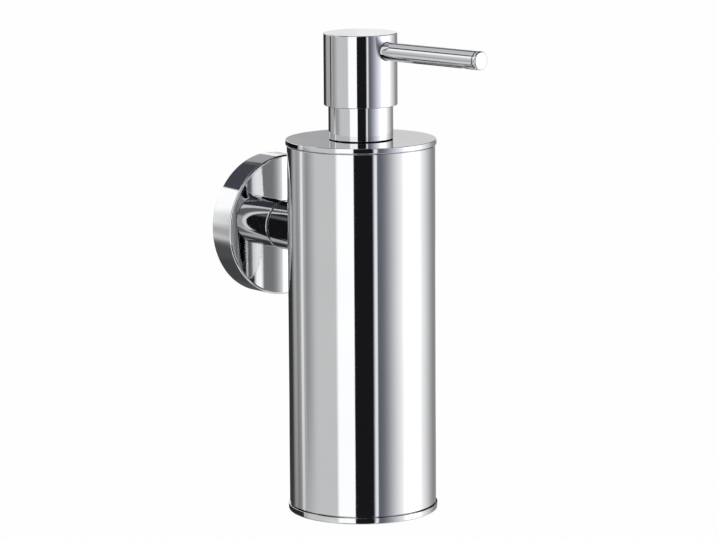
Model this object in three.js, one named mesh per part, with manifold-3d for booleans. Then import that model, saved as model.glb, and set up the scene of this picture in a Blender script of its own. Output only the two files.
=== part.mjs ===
// Wall-mounted chrome soap dispenser with a push-down pump.
// Millimetres, +Z up. The origin is the middle of the wall plate's back face,
// the wall lies towards +Y and the spout points to -Y, turned a little towards +X.

import * as THREE from 'three';
import { mergeVertices } from 'three/addons/utils/BufferGeometryUtils.js';
import Module from 'manifold-3d';

const wasm = await Module();
wasm.setup();

// Clearances
const seatGap = 0.3; // between pieces that seat on each other
const threadGap = 0.2; // between a thread and its nut or tapped hole
const slideGap = 0.2; // round the stem, where pieces slide or turn on it
const overrun = 1; // how far every cut runs past the face it opens

// Facets round a circle
const wideSides = 48;
const middleSides = 32;
const fineSides = 20;
const hexSides = 6;
const fullTurn = 2 * Math.PI;
const quarterTurn = fullTurn / 4;

// Body tube and its base
const tubeRadius = 25;
const tubeWall = 1;
const bodyHeight = 125.5; // underside of the base to underside of the lid
const baseRingHeight = 2.2;
const baseOverhang = 0.5;
const registerHeight = 2;
const softBevel = 0.3; // broken edges of the chrome pieces

// Arm and rose
const armHeight = 93; // underside of the base to the arm's axis
const armRadius = 8.5;
const armLength = 15.7; // rose face to the back of the tube
const armBevel = 0.4;
const roseRadius = 24.4;
const roseWall = 2.4;
const roseFace = 2.2;
const roseEdgeRadius = 0.8;
const roseEdgeSteps = 3;

// Wall plate
const plateGap = 0.4; // between the plate's rim and the rose
const plateRoom = 2.8; // between the plate's front and the rose's face
const backLand = 1.4; // rim behind the groove
const frontLand = 0.4; // rim in front of the groove
const grooveDepth = 1.6;
const wallHoleRadius = 2.4;
const wallHoleSpacing = 26;
const countersinkRadius = 4.2;
const countersinkDepth = 1.8;
const recessMargin = 1.5; // round the arm screw's washer and behind its head

// Screws of the arm
const screwRadius = 2.5;
const screwHeadRadius = 4.2;
const armScrewHead = 2.4;
const tubeScrewHead = 1.6;
const socketRadius = 1.7; // across the corners of the hexagon
const socketDepth = 1;
const washerRadius = 5;
const washerThickness = 0.7;
const saddleThickness = 1.2;
const holeTip = 0.8; // free depth past the end of each screw
const holeLand = 2.6; // metal left between the arm's two tapped holes
const roseGripShare = 0.6; // of the thread in the arm, the arm screw's

// Grub screw of the rose
const grubRadius = 2;
const grubTipRadius = 0.4;
const grubSocketRadius = 1.2;
const grubInset = 0.2;

// Liner
const linerGap = 1.2; // between the liner and the tube
const linerWall = 1.2;
const linerFloor = 1.5;
const linerScrewGap = 0.7; // between the liner's flat and the tube screw
const rimGap = 0.6; // between the liner's rim and the tube
const rimHeight = 2;
const linerTopGap = 1; // between the liner's rim and the lid's plug

// Lid and its seal
const lidThickness = 1.8;
const lidOverhang = 0.5;
const plugDepth = 6;
const plugGap = 0.6;
const sealRadius = 0.6; // thickness radius of the O-ring
const sealSides = 8;
const sealGap = 0.25; // between the O-ring and the tube
const sealPlay = 0.15; // between the O-ring and its groove
const sealBacking = 1; // plug left behind the groove

// Pump stem and piston
const stemRadius = 2.8;
const stemBore = 1.5;
const portRadius = 0.8;
const shoulderLip = 1.4;
const shoulderThickness = 1.2;
const pistonHeight = 6.4;
const pistonLip = 1.2; // height of each sealing lip
const pistonWaist = 0.55; // how far the waist lies inside the lips
const pistonGap = 0.15; // between the lips and the barrel
const pistonFloat = 1.2; // how far the piston floats on the stem
const seatThickness = 1.6;
const seatPinLength = 1.6;
const seatPipHeight = 1.4; // pip that centres the spring
const pinGap = 0.3; // between the seat's pin and the stem's bore

// Barrel, guide and inlet valve
const barrelBore = 5;
const barrelWall = 1.1;
const flangeLip = 2.2;
const flangeThickness = 1.5;
const gasketThickness = 0.8;
const guideFloor = 1.6;
const guideSleeve = 1.8;
const ventRadius = 0.6;
const ventDrop = 3.6; // below the barrel's flange
const springLength = 23;
const springWire = 0.4;
const springGap = 0.55; // between the wire and the barrel
const springCurls = 9;
const springSteps = 8; // per curl
const springSides = 5;
const retainerThickness = 1;
const retainerLip = 0.6; // how far its hole is smaller than the ball
const ballRadius = 2.2;
const ballTravel = 1.5;
const ballSeatGap = 0.15;
const chamberGap = 0.7; // round the ball
const inletRadius = 1.4;
const inletLength = 1.2;
const shoulderDrop = 1; // barrel wall left below the spring's seat
const socketLength = 6.5;

// Dip tube
const dipRadius = 3.2;
const dipBore = 2.2;
const dipClearance = 2; // above the liner's floor
const dipCutAngle = Math.PI / 4;
const dipCutReach = 14; // side of the block that cuts it

// Collar and its nut
const collarWall = 2.3;
const spigotWall = 2.2;
const threadEnd = 1.6; // thread left below the nut
const nutWall = 3.2; // at the flats
const nutHeight = 3;
const nutWasherLip = 2.6;

// Pump head
const headRise = 11.5; // top of the lid to the bottom of the head
const pressedGap = 1; // left under the head when it is pressed home
const skirtOverlap = 2.2; // head over the collar at rest
const skirtGap = 0.4;
const headWall = 1.1;
const headTopWall = 1.4;
const headTurn = fullTurn / 60; // how far the head stands turned from straight ahead
const endGap = 0.4; // left between the insert and the collar when pressed
const insertFloor = 2.4;
const insertRoof = 0.5;
const insertCore = 3; // between the stem and the spout's root
const jetRadius = 1.2; // bore that joins the stem's socket to the cross bore
const jetLand = 0.6; // its length below the cross bore
const bossWall = 1.6;
const bossLength = 4.3;
const guideInset = 0.3;

// Spout
const spoutRadius = 3.1;
const spoutBore = 2.1;
const spoutReach = 54.4; // axis of the pump to the tip
const spoutTipBevel = 0.5;
const plugLength = 1.5;
const plugSpigotLength = 2.6;
const outletRadius = 1.4;
const outletMargin = 1; // between the plug's spigot and the outlet

// Wall side, measured from the wall outwards
const roseInner = roseRadius - roseWall;
const plateRadius = roseInner - plateGap;
const grooveHeight = backLand + grooveDepth;
const plateThickness = grooveHeight + grooveDepth + frontLand;
const roseCavity = plateThickness + plateRoom;
const roseDepth = roseCavity + roseFace;
const armWasherBack = roseCavity - seatGap - washerThickness;
const armScrewHeadFront = armWasherBack - seatGap;
const armScrewHeadBack = armScrewHeadFront - armScrewHead;
const armGrip = armLength - holeLand - 2 * holeTip;
const armScrewGrip = armGrip * roseGripShare;
const tubeScrewGrip = armGrip - armScrewGrip;
const axisReach = roseDepth + armLength + tubeRadius;

// Body, measured up from the underside of the base
const tubeBore = tubeRadius - tubeWall;
const tubeFoot = baseRingHeight + seatGap;
const tubeTop = bodyHeight - seatGap;
const registerTop = baseRingHeight + registerHeight;
const saddleOuter = tubeBore - seatGap;
const tubeScrewHeadFront = saddleOuter - saddleThickness - seatGap;
const tubeScrewHeadBack = tubeScrewHeadFront - tubeScrewHead;
const linerRadius = tubeBore - linerGap;
const linerFlat = tubeScrewHeadBack - linerScrewGap;
const linerFoot = registerTop + seatGap;
const linerFloorTop = linerFoot + linerFloor;
const plugFoot = bodyHeight - plugDepth;
const plugRadius = tubeBore - plugGap;
const sealMean = tubeBore - sealGap - sealRadius;
const sealHeight = plugFoot + plugDepth / 2;
const linerTop = plugFoot - linerTopGap;
const lidTop = bodyHeight + lidThickness;

// Head, from the lid upwards
const stroke = headRise - pressedGap;
const headFoot = lidTop + headRise;
const collarTop = headFoot + skirtOverlap;
const insertFoot = collarTop + endGap + stroke;
const spoutSocket = spoutRadius + slideGap;
const spoutHeight = insertFoot + insertFloor + spoutSocket;
const insertTop = spoutHeight + spoutSocket + insertRoof;
const headCeiling = insertTop + seatGap;
const headTop = headCeiling + headTopWall;
const bossFoot = insertFoot - bossLength;
const stemSocketTop = spoutHeight - stemBore - jetLand;
const stemTop = stemSocketTop - seatGap;

// Pump, from the collar downwards
const stemSocket = stemRadius + slideGap;
const guideTop = collarTop - guideInset;
const guideRecess = collarTop - bossLength;
const guideFoot = guideRecess - guideFloor;
const sleeveFoot = guideFoot - guideSleeve;
const flangeTop = guideFoot - seatGap;
const flangeFoot = flangeTop - flangeThickness;
const gasketTop = flangeFoot - seatGap;
const gasketFoot = gasketTop - gasketThickness;
const collarStep = gasketFoot - seatGap;
const shoulderTop = sleeveFoot - seatGap;
const shoulderFoot = shoulderTop - shoulderThickness;
const pistonTop = shoulderFoot - pistonFloat - seatGap;
const pistonFoot = pistonTop - pistonHeight;
const seatTop = pistonFoot - seatGap;
const stemFoot = seatTop + seatGap;
const seatFoot = seatTop - seatThickness;
const springTop = seatFoot - seatGap;
const springFoot = springTop - springLength;
const retainerTop = springFoot - seatGap;
const retainerFoot = retainerTop - retainerThickness;
const barrelShoulder = retainerFoot - seatGap;
const ballTop = retainerFoot - seatGap - ballTravel;
const ballHeight = ballTop - ballRadius;
const chamberRadius = ballRadius + chamberGap;
const coneApex = ballHeight - (ballRadius + ballSeatGap) * Math.SQRT2;
const inletTop = coneApex + inletRadius;
const coneTop = coneApex + chamberRadius;
const dipSocketTop = inletTop - inletLength;
const dipSocketFoot = dipSocketTop - socketLength;
const dipTop = dipSocketTop - seatGap;
const dipFoot = linerFloorTop + dipClearance;

// Radii round the pump
const barrelRadius = barrelBore + barrelWall;
const flangeRadius = barrelRadius + flangeLip;
const collarBore = barrelRadius + seatGap;
const counterBore = flangeRadius + seatGap;
const collarRadius = counterBore + collarWall;
const spigotRadius = collarBore + spigotWall;
const nutBore = spigotRadius + threadGap;
const headBore = collarRadius + skirtGap;
const headRadius = headBore + headWall;
const insertRadius = headBore - seatGap;
const washerTop = bodyHeight - seatGap;
const nutTop = washerTop - washerThickness - seatGap;
const nutFoot = nutTop - nutHeight;
const spigotFoot = nutFoot - threadEnd;
const springMean = barrelBore - springGap - springWire;
const springInner = springMean * Math.cos(Math.PI / springSteps) - springWire;

// Finishes
const finish = (color, roughness, metalness) => ({ color, roughness, metalness });
const chrome = finish(0xd9dbde, 0.05, 1);
const zincSteel = finish(0xa9acae, 0.35, 1);
const stainless = finish(0xb8bbbd, 0.25, 1);
const brass = finish(0xb9975b, 0.3, 1);
const whitePlastic = finish(0xeceae4, 0.4, 0);
const naturalPlastic = finish(0xd6dbd8, 0.3, 0);
const blackRubber = finish(0x1c1c1e, 0.7, 0);

// A profile of [radius, height] points turned about Z, closed if it leaves the axis
function turned(points, sides) {
  const outline = points.map(([radius, height]) => new THREE.Vector2(radius, height));
  const [first, last] = [outline[0], outline[outline.length - 1]];
  if (first.x > 0 || last.x > 0) outline.push(first.clone());
  return new THREE.LatheGeometry(outline, sides).rotateX(quarterTurn);
}

function rod(radius, low, high, sides) {
  return turned([[0, low], [radius, low], [radius, high], [0, high]], sides);
}

function ring(inner, outer, low, high, sides) {
  return turned([[inner, low], [outer, low], [outer, high], [inner, high]], sides);
}

function box(low, high) {
  const size = high.map((value, axis) => value - low[axis]);
  const middle = high.map((value, axis) => (value + low[axis]) / 2);
  return new THREE.BoxGeometry(...size).translate(...middle);
}

// Geometry turned from +Z to another axis
const alongY = (geometry) => geometry.rotateX(-quarterTurn);
const alongX = (geometry) => geometry.rotateY(quarterTurn);
const downY = (geometry) => geometry.rotateX(quarterTurn);
const facing = (geometry) => geometry.rotateZ(headTurn);

function toSolid(geometry) {
  const bare = geometry.clone();
  bare.deleteAttribute('normal');
  bare.deleteAttribute('uv');
  const merged = mergeVertices(bare);
  const corners = [...merged.index.array];
  const triangles = [];
  for (let start = 0; start < corners.length; start += 3) {
    const [a, b, c] = corners.slice(start, start + 3);
    if (a !== b && b !== c && c !== a) triangles.push(a, b, c);
  }
  return new wasm.Manifold(new wasm.Mesh({
    numProp: 3,
    vertProperties: new Float32Array(merged.attributes.position.array),
    triVerts: new Uint32Array(triangles),
  }));
}

function toGeometry(solid) {
  const made = solid.getMesh();
  const geometry = new THREE.BufferGeometry();
  geometry.setAttribute('position', new THREE.BufferAttribute(made.vertProperties, 3));
  geometry.setIndex(new THREE.BufferAttribute(made.triVerts, 1));
  geometry.computeVertexNormals();
  return geometry;
}

const cut = (body, ...cutters) =>
  toGeometry(cutters.reduce((solid, cutter) => solid.subtract(toSolid(cutter)), toSolid(body)));
const join = (body, ...others) =>
  toGeometry(others.reduce((solid, other) => solid.add(toSolid(other)), toSolid(body)));
const overlap = (body, other) => toGeometry(toSolid(body).intersect(toSolid(other)));

function piece(name, geometry, { color, roughness, metalness }) {
  const mesh = new THREE.Mesh(geometry, new THREE.MeshStandardMaterial({ color, roughness, metalness }));
  mesh.name = name;
  return mesh;
}

// Wall side: heights here run from the wall outwards

// A disc with a grooved rim, a recess for the arm screw's head and two countersunk holes
function wallPlate() {
  const plate = turned([
    [0, 0], [plateRadius, 0], [plateRadius, grooveHeight - grooveDepth],
    [plateRadius - grooveDepth, grooveHeight], [plateRadius, grooveHeight + grooveDepth],
    [plateRadius, plateThickness], [0, plateThickness],
  ], wideSides);
  const floor = armScrewHeadBack - recessMargin;
  const recess = rod(washerRadius + recessMargin, floor, plateThickness + overrun, middleSides);
  const holes = [-1, 1].map((side) => turned([
    [0, -overrun], [wallHoleRadius, -overrun], [wallHoleRadius, plateThickness - countersinkDepth],
    [countersinkRadius, plateThickness], [countersinkRadius, plateThickness + overrun],
    [0, plateThickness + overrun],
  ], fineSides).translate((side * wallHoleSpacing) / 2, 0, 0));
  return cut(plate, recess, ...holes);
}

// A cup over the wall plate, rounded at its front edge
function roseCover() {
  const frontEdge = Array.from({ length: roseEdgeSteps + 1 }, (_, step) => {
    const angle = (quarterTurn * step) / roseEdgeSteps;
    return [
      roseRadius - roseEdgeRadius * (1 - Math.cos(angle)),
      roseDepth - roseEdgeRadius * (1 - Math.sin(angle)),
    ];
  });
  const screwHole = screwRadius + seatGap;
  const shell = turned([
    [roseInner, 0], [roseRadius - softBevel, 0], [roseRadius, softBevel],
    ...frontEdge,
    [screwHole, roseDepth], [screwHole, roseCavity], [roseInner, roseCavity],
  ], wideSides);
  const grubHole = downY(rod(grubRadius + threadGap, roseInner - overrun, roseRadius + overrun, fineSides));
  return cut(shell, grubHole.translate(0, 0, grooveHeight));
}

// The grub screw's cone points up into the plate's groove, both at 45 degrees, and its socket faces down
function roseGrubScrew() {
  const head = roseRadius - grubInset;
  const tip = plateRadius - grooveDepth + grubTipRadius + seatGap * Math.SQRT2;
  const coneTop = tip + grubRadius - grubTipRadius;
  const screw = turned([
    [0, tip], [grubTipRadius, tip], [grubRadius, coneTop], [grubRadius, head], [0, head],
  ], fineSides);
  const socket = rod(grubSocketRadius, head - socketDepth, head + overrun, hexSides);
  return downY(cut(screw, socket)).translate(0, 0, grooveHeight);
}

// A bar hollowed at its far end to sit on the round tube, tapped at both ends
function armBar() {
  const start = roseDepth + seatGap;
  const bar = turned([
    [0, start], [armRadius - armBevel, start], [armRadius, start + armBevel],
    [armRadius, axisReach], [0, axisReach],
  ], middleSides);
  const tube = alongY(rod(tubeRadius + seatGap, -tubeRadius, tubeRadius, wideSides));
  const tapped = screwRadius + threadGap;
  const roseHole = rod(tapped, start - overrun, roseDepth + armScrewGrip + holeTip, fineSides);
  const tubeHoleEnd = axisReach - tubeRadius - tubeScrewGrip - holeTip;
  const tubeHole = rod(tapped, tubeHoleEnd, axisReach, fineSides);
  return cut(bar, tube.translate(0, 0, axisReach), roseHole, tubeHole);
}

// A low head with a hexagon socket, from low to shoulder, and a shank up to end
function capScrew(low, shoulder, end) {
  const screw = turned([
    [0, low], [screwHeadRadius - softBevel, low], [screwHeadRadius, low + softBevel],
    [screwHeadRadius, shoulder], [screwRadius, shoulder], [screwRadius, end], [0, end],
  ], fineSides);
  return cut(screw, rod(socketRadius, low - overrun, low + socketDepth, hexSides));
}

function armScrew() {
  return capScrew(armScrewHeadBack, armScrewHeadFront, roseDepth + armScrewGrip);
}

function armScrewWasher() {
  const front = armWasherBack + washerThickness;
  return ring(screwRadius + seatGap, washerRadius, armWasherBack, front, fineSides);
}

const wallSide = new THREE.Group();
wallSide.rotation.x = quarterTurn;
wallSide.add(
  piece('wall_plate', wallPlate(), zincSteel),
  piece('rose_cover', roseCover(), chrome),
  piece('rose_grub_screw', roseGrubScrew(), stainless),
  piece('arm', armBar(), chrome),
  piece('arm_screw', armScrew(), zincSteel),
  piece('arm_screw_washer', armScrewWasher(), zincSteel),
);

// Body: heights here run up from the underside of the base

// A disc with a register that locates it in the tube
function baseCap() {
  const radius = tubeRadius + baseOverhang;
  return turned([
    [0, 0], [radius - softBevel, 0], [radius, softBevel],
    [radius, baseRingHeight - softBevel], [radius - softBevel, baseRingHeight],
    [tubeBore - seatGap, baseRingHeight], [tubeBore - seatGap, registerTop], [0, registerTop],
  ], wideSides);
}

// A plain tube, drilled at the back for the screw into the arm
function bodyTube() {
  const tube = ring(tubeBore, tubeRadius, tubeFoot, tubeTop, wideSides);
  const screwHole = alongY(rod(screwRadius + seatGap, tubeBore - overrun, tubeRadius + overrun, fineSides));
  return cut(tube, screwHole.translate(0, 0, armHeight));
}

// A round washer curved on its outer side to the bore of the tube
function saddleWasher() {
  const flat = tubeScrewHeadFront + seatGap;
  const disc = alongY(ring(screwRadius + seatGap, washerRadius, flat, tubeBore + overrun, fineSides));
  const bore = rod(saddleOuter, armHeight - tubeRadius, armHeight + tubeRadius, wideSides);
  return overlap(disc.translate(0, 0, armHeight), bore);
}

function tubeScrew() {
  const screw = capScrew(tubeScrewHeadBack, tubeScrewHeadFront, tubeRadius + tubeScrewGrip);
  return alongY(screw).translate(0, 0, armHeight);
}

// A beaker with a flat at the back, which passes the tube screw as it lifts out
function linerBeaker() {
  const rimFoot = linerTop - rimHeight;
  const shelf = rimFoot + linerWall;
  const inner = linerRadius - linerWall;
  const behind = (flat, low, high) => box([-tubeRadius, flat, low], [tubeRadius, tubeRadius, high]);
  const body = cut(
    rod(linerRadius, linerFoot, linerTop, wideSides),
    behind(linerFlat, linerFoot - overrun, rimFoot),
  );
  const rim = rod(tubeBore - rimGap, rimFoot, linerTop, wideSides);
  const lowerHollow = cut(
    rod(inner, linerFloorTop, shelf, wideSides),
    behind(linerFlat - linerWall, linerFloorTop - overrun, shelf + overrun),
  );
  const upperHollow = rod(inner, shelf, linerTop + overrun, wideSides);
  return cut(join(body, rim), join(lowerHollow, upperHollow));
}

// A disc with a plug below it, grooved for the seal, and a hole for the collar's spigot
function lidDisc() {
  const radius = tubeRadius + lidOverhang;
  const grooveFloor = sealMean - sealRadius - sealPlay;
  const plugBore = grooveFloor - sealBacking;
  const grooveFoot = sealHeight - sealRadius - sealPlay;
  const grooveTop = sealHeight + sealRadius + sealPlay;
  const hole = spigotRadius + seatGap;
  return turned([
    [hole, bodyHeight], [plugBore, bodyHeight], [plugBore, plugFoot], [plugRadius, plugFoot],
    [plugRadius, grooveFoot], [grooveFloor, grooveFoot], [grooveFloor, grooveTop],
    [plugRadius, grooveTop], [plugRadius, bodyHeight],
    [radius - softBevel, bodyHeight], [radius, bodyHeight + softBevel],
    [radius, lidTop - softBevel], [radius - softBevel, lidTop], [hole, lidTop],
  ], wideSides);
}

function lidSeal() {
  const section = Array.from({ length: sealSides }, (_, corner) => {
    const angle = (fullTurn * corner) / sealSides;
    return [sealMean + sealRadius * Math.cos(angle), sealHeight + sealRadius * Math.sin(angle)];
  });
  return turned(section, wideSides);
}

// A sleeve on the lid, bored for the barrel, with a threaded spigot through the lid
function collarSleeve() {
  const foot = lidTop + seatGap;
  return turned([
    [collarBore, spigotFoot], [spigotRadius - softBevel, spigotFoot],
    [spigotRadius, spigotFoot + softBevel], [spigotRadius, foot],
    [collarRadius, foot], [collarRadius, collarTop - softBevel], [collarRadius - softBevel, collarTop],
    [counterBore, collarTop], [counterBore, collarStep], [collarBore, collarStep],
  ], middleSides);
}

// A thin hexagon nut under the lid
function collarNut() {
  const corner = (nutBore + nutWall) / Math.cos(Math.PI / hexSides);
  return cut(
    rod(corner, nutFoot, nutTop, hexSides),
    rod(nutBore, nutFoot - overrun, nutTop + overrun, middleSides),
  );
}

function nutWasher() {
  return ring(nutBore, nutBore + nutWasherLip, washerTop - washerThickness, washerTop, middleSides);
}

// Bore for the piston, shoulder for the spring, ball chamber with a cone seat, socket for the dip tube
function pumpBarrel() {
  const socket = dipRadius + seatGap;
  const socketWall = socket + barrelWall;
  const bodyFoot = barrelShoulder - shoulderDrop;
  const taperFoot = bodyFoot - (barrelRadius - socketWall);
  const barrel = turned([
    [socket, dipSocketFoot], [socketWall, dipSocketFoot], [socketWall, taperFoot],
    [barrelRadius, bodyFoot], [barrelRadius, flangeFoot], [flangeRadius, flangeFoot],
    [flangeRadius, flangeTop], [barrelBore, flangeTop], [barrelBore, barrelShoulder],
    [chamberRadius, barrelShoulder], [chamberRadius, coneTop], [inletRadius, inletTop],
    [inletRadius, dipSocketTop], [socket, dipSocketTop],
  ], fineSides);
  const vent = alongX(rod(ventRadius, barrelBore - overrun, barrelRadius + overrun, hexSides));
  return cut(barrel, vent.translate(0, 0, flangeFoot - ventDrop));
}

function barrelGasket() {
  return ring(collarBore + threadGap, flangeRadius, gasketFoot, gasketTop, fineSides);
}

// A threaded plug with a recess for the head's boss and a sleeve down into the barrel
function guideCap() {
  const recess = stemSocket + bossWall + slideGap + seatGap;
  return turned([
    [stemSocket, sleeveFoot], [barrelBore - seatGap, sleeveFoot], [barrelBore - seatGap, guideFoot],
    [flangeRadius, guideFoot], [flangeRadius, guideTop], [recess, guideTop],
    [recess, guideRecess], [stemSocket, guideRecess],
  ], fineSides);
}

// The axis of the spring's wire, an even helix from share 0 to share 1
class SpringLine extends THREE.Curve {
  getPoint(share, target = new THREE.Vector3()) {
    const angle = fullTurn * springCurls * share;
    const climb = springLength - 2 * springWire;
    return target.set(
      springMean * Math.cos(angle),
      springMean * Math.sin(angle),
      springFoot + springWire + climb * share,
    );
  }
}

// Least gap between a wire and itself, from points at least half a curl apart
function leastGap(points, halfCurl, wire) {
  const distances = points.flatMap((point, at) =>
    points.slice(at + halfCurl).map((other) => point.distanceTo(other)));
  return Math.min(...distances) - 2 * wire;
}

function pumpSpring() {
  const corners = Array.from({ length: springSides }, (_, corner) => {
    const angle = (fullTurn * corner) / springSides;
    return new THREE.Vector2(springWire * Math.cos(angle), springWire * Math.sin(angle));
  });
  const line = new SpringLine();
  const steps = springCurls * springSteps;
  const gap = leastGap(line.getPoints(steps), springSteps / 2, springWire);
  console.log(`pump_spring: least gap between curls ${gap.toFixed(2)} mm`);
  const options = { steps, bevelEnabled: false, extrudePath: line };
  return new THREE.ExtrudeGeometry(new THREE.Shape(corners), options);
}

// The washer that the spring stands on, which keeps the ball in its chamber
function ballRetainer() {
  const hole = ballRadius - retainerLip;
  return ring(hole, barrelBore - seatGap, retainerFoot, retainerTop, fineSides);
}

function valveBall() {
  const steps = fineSides / 2;
  const arc = Array.from({ length: steps - 1 }, (_, step) => {
    const angle = (Math.PI * (step + 1)) / steps;
    return [ballRadius * Math.sin(angle), ballHeight - ballRadius * Math.cos(angle)];
  });
  return turned([[0, ballHeight - ballRadius], ...arc, [0, ballHeight + ballRadius]], fineSides);
}

// The lower end is cut on the slant, so it can't seal against the liner's floor
function dipTube() {
  const tube = ring(dipBore, dipRadius, dipFoot, dipTop, fineSides);
  const slant = new THREE.BoxGeometry(dipCutReach, dipCutReach, dipCutReach);
  const height = dipFoot + dipRadius * Math.tan(dipCutAngle);
  slant.translate(0, 0, -dipCutReach / 2).rotateX(dipCutAngle).translate(0, 0, height);
  return cut(tube, slant);
}

// A hollow rod with a shoulder that stops under the guide, and ports that the piston covers
function pumpStem() {
  const shoulder = stemRadius + shoulderLip;
  const stem = turned([
    [stemBore, stemFoot], [stemRadius, stemFoot], [stemRadius, shoulderFoot], [shoulder, shoulderFoot],
    [shoulder, shoulderTop], [stemRadius, shoulderTop], [stemRadius, stemTop], [stemBore, stemTop],
  ], fineSides);
  const portHeight = seatTop + seatPinLength + seatGap + portRadius;
  const ports = alongX(rod(portRadius, -stemRadius - overrun, stemRadius + overrun, hexSides));
  return cut(stem, ports.translate(0, 0, portHeight));
}

// A plug in the stem's foot: the piston closes on its flange and the spring pushes under it
function pistonSeat() {
  const flange = stemRadius + shoulderLip;
  const pin = stemBore - pinGap;
  const pip = springInner - seatGap;
  return turned([
    [0, seatFoot - seatPipHeight], [pip, seatFoot - seatPipHeight],
    [pip, seatFoot], [flange, seatFoot], [flange, seatTop], [pin, seatTop],
    [pin, seatTop + seatPinLength], [0, seatTop + seatPinLength],
  ], fineSides);
}

// A cup with a lip at each end, loose on the stem
function floatingPiston() {
  const lip = barrelBore - pistonGap;
  const waist = lip - pistonWaist;
  return turned([
    [stemSocket, pistonFoot], [lip, pistonFoot], [lip, pistonFoot + pistonLip],
    [waist, pistonFoot + pistonLip + pistonWaist], [waist, pistonTop - pistonLip - pistonWaist],
    [lip, pistonTop - pistonLip], [lip, pistonTop], [stemSocket, pistonTop],
  ], fineSides);
}

// A cap that slides down over the collar, with a hole for the spout
function pumpHead() {
  const cap = turned([
    [headBore, headFoot], [headRadius - softBevel, headFoot], [headRadius, headFoot + softBevel],
    [headRadius, headTop - softBevel], [headRadius - softBevel, headTop], [0, headTop],
    [0, headCeiling], [headBore, headCeiling],
  ], middleSides);
  const hole = downY(rod(spoutSocket, insertRadius - overrun, headRadius + overrun, fineSides));
  return cut(cap, hole.translate(0, 0, spoutHeight));
}

// Plastic core: a socket for the stem below, a socket for the spout in front, a bore between them
function headInsert() {
  const boss = stemSocket + bossWall;
  const root = stemSocket + insertCore;
  const core = turned([
    [0, bossFoot], [boss, bossFoot], [boss, insertFoot], [insertRadius, insertFoot],
    [insertRadius, insertTop], [0, insertTop],
  ], middleSides);
  const stemHole = turned([
    [0, bossFoot - overrun], [stemSocket, bossFoot - overrun], [stemSocket, stemSocketTop],
    [jetRadius, stemSocketTop], [jetRadius, spoutHeight], [0, spoutHeight],
  ], fineSides);
  const spoutHole = downY(turned([
    [0, -stemBore], [stemBore, -stemBore], [stemBore, root], [spoutSocket, root],
    [spoutSocket, insertRadius + overrun], [0, insertRadius + overrun],
  ], fineSides)).translate(0, 0, spoutHeight);
  return cut(core, stemHole, spoutHole);
}

// A straight tube out of the head, with its outlet underneath near the tip
function spoutTube() {
  const root = stemSocket + insertCore + seatGap;
  const end = spoutReach - plugLength - seatGap;
  const outlet = end - plugSpigotLength - outletMargin - outletRadius;
  const tube = downY(ring(spoutBore, spoutRadius, root, end, fineSides)).translate(0, 0, spoutHeight);
  const drill = rod(outletRadius, spoutHeight - spoutRadius - overrun, spoutHeight, fineSides);
  return cut(tube, drill.translate(0, -outlet, 0));
}

// The polished end of the spout, with a spigot in its bore
function spoutPlug() {
  const spigot = spoutBore - slideGap;
  const shoulder = spoutReach - plugLength;
  const plug = turned([
    [0, shoulder - plugSpigotLength], [spigot, shoulder - plugSpigotLength], [spigot, shoulder],
    [spoutRadius, shoulder], [spoutRadius, spoutReach - spoutTipBevel],
    [spoutRadius - spoutTipBevel, spoutReach], [0, spoutReach],
  ], fineSides);
  return downY(plug).translate(0, 0, spoutHeight);
}

const dispenser = new THREE.Group();
dispenser.position.set(0, -axisReach, -armHeight);
dispenser.add(
  piece('body_tube', bodyTube(), chrome),
  piece('base_cap', baseCap(), chrome),
  piece('tube_screw', tubeScrew(), zincSteel),
  piece('saddle_washer', saddleWasher(), zincSteel),
  piece('liner', linerBeaker(), naturalPlastic),
  piece('lid', lidDisc(), chrome),
  piece('lid_seal', lidSeal(), blackRubber),
  piece('collar', collarSleeve(), chrome),
  piece('collar_nut', collarNut(), brass),
  piece('nut_washer', nutWasher(), blackRubber),
  piece('pump_barrel', pumpBarrel(), whitePlastic),
  piece('barrel_gasket', barrelGasket(), blackRubber),
  piece('guide_cap', guideCap(), whitePlastic),
  piece('pump_spring', pumpSpring(), stainless),
  piece('ball_retainer', ballRetainer(), whitePlastic),
  piece('valve_ball', valveBall(), stainless),
  piece('dip_tube', dipTube(), naturalPlastic),
  piece('stem', pumpStem(), whitePlastic),
  piece('piston_seat', pistonSeat(), whitePlastic),
  piece('piston', floatingPiston(), whitePlastic),
  piece('pump_head', facing(pumpHead()), chrome),
  piece('head_insert', facing(headInsert()), whitePlastic),
  piece('spout', facing(spoutTube()), chrome),
  piece('spout_plug', facing(spoutPlug()), chrome),
);

const part = new THREE.Group();
part.add(wallSide, dispenser);

export default part;
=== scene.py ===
# %% [markdown]
# # A wall-mounted soap dispenser in polished chrome
#
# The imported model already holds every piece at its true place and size. This lesson
# dresses it: smooth turned shells in place of the faceted ones, a material for each
# finish, and a small photo studio, because chrome shows nothing but its surroundings.

import math

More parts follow.
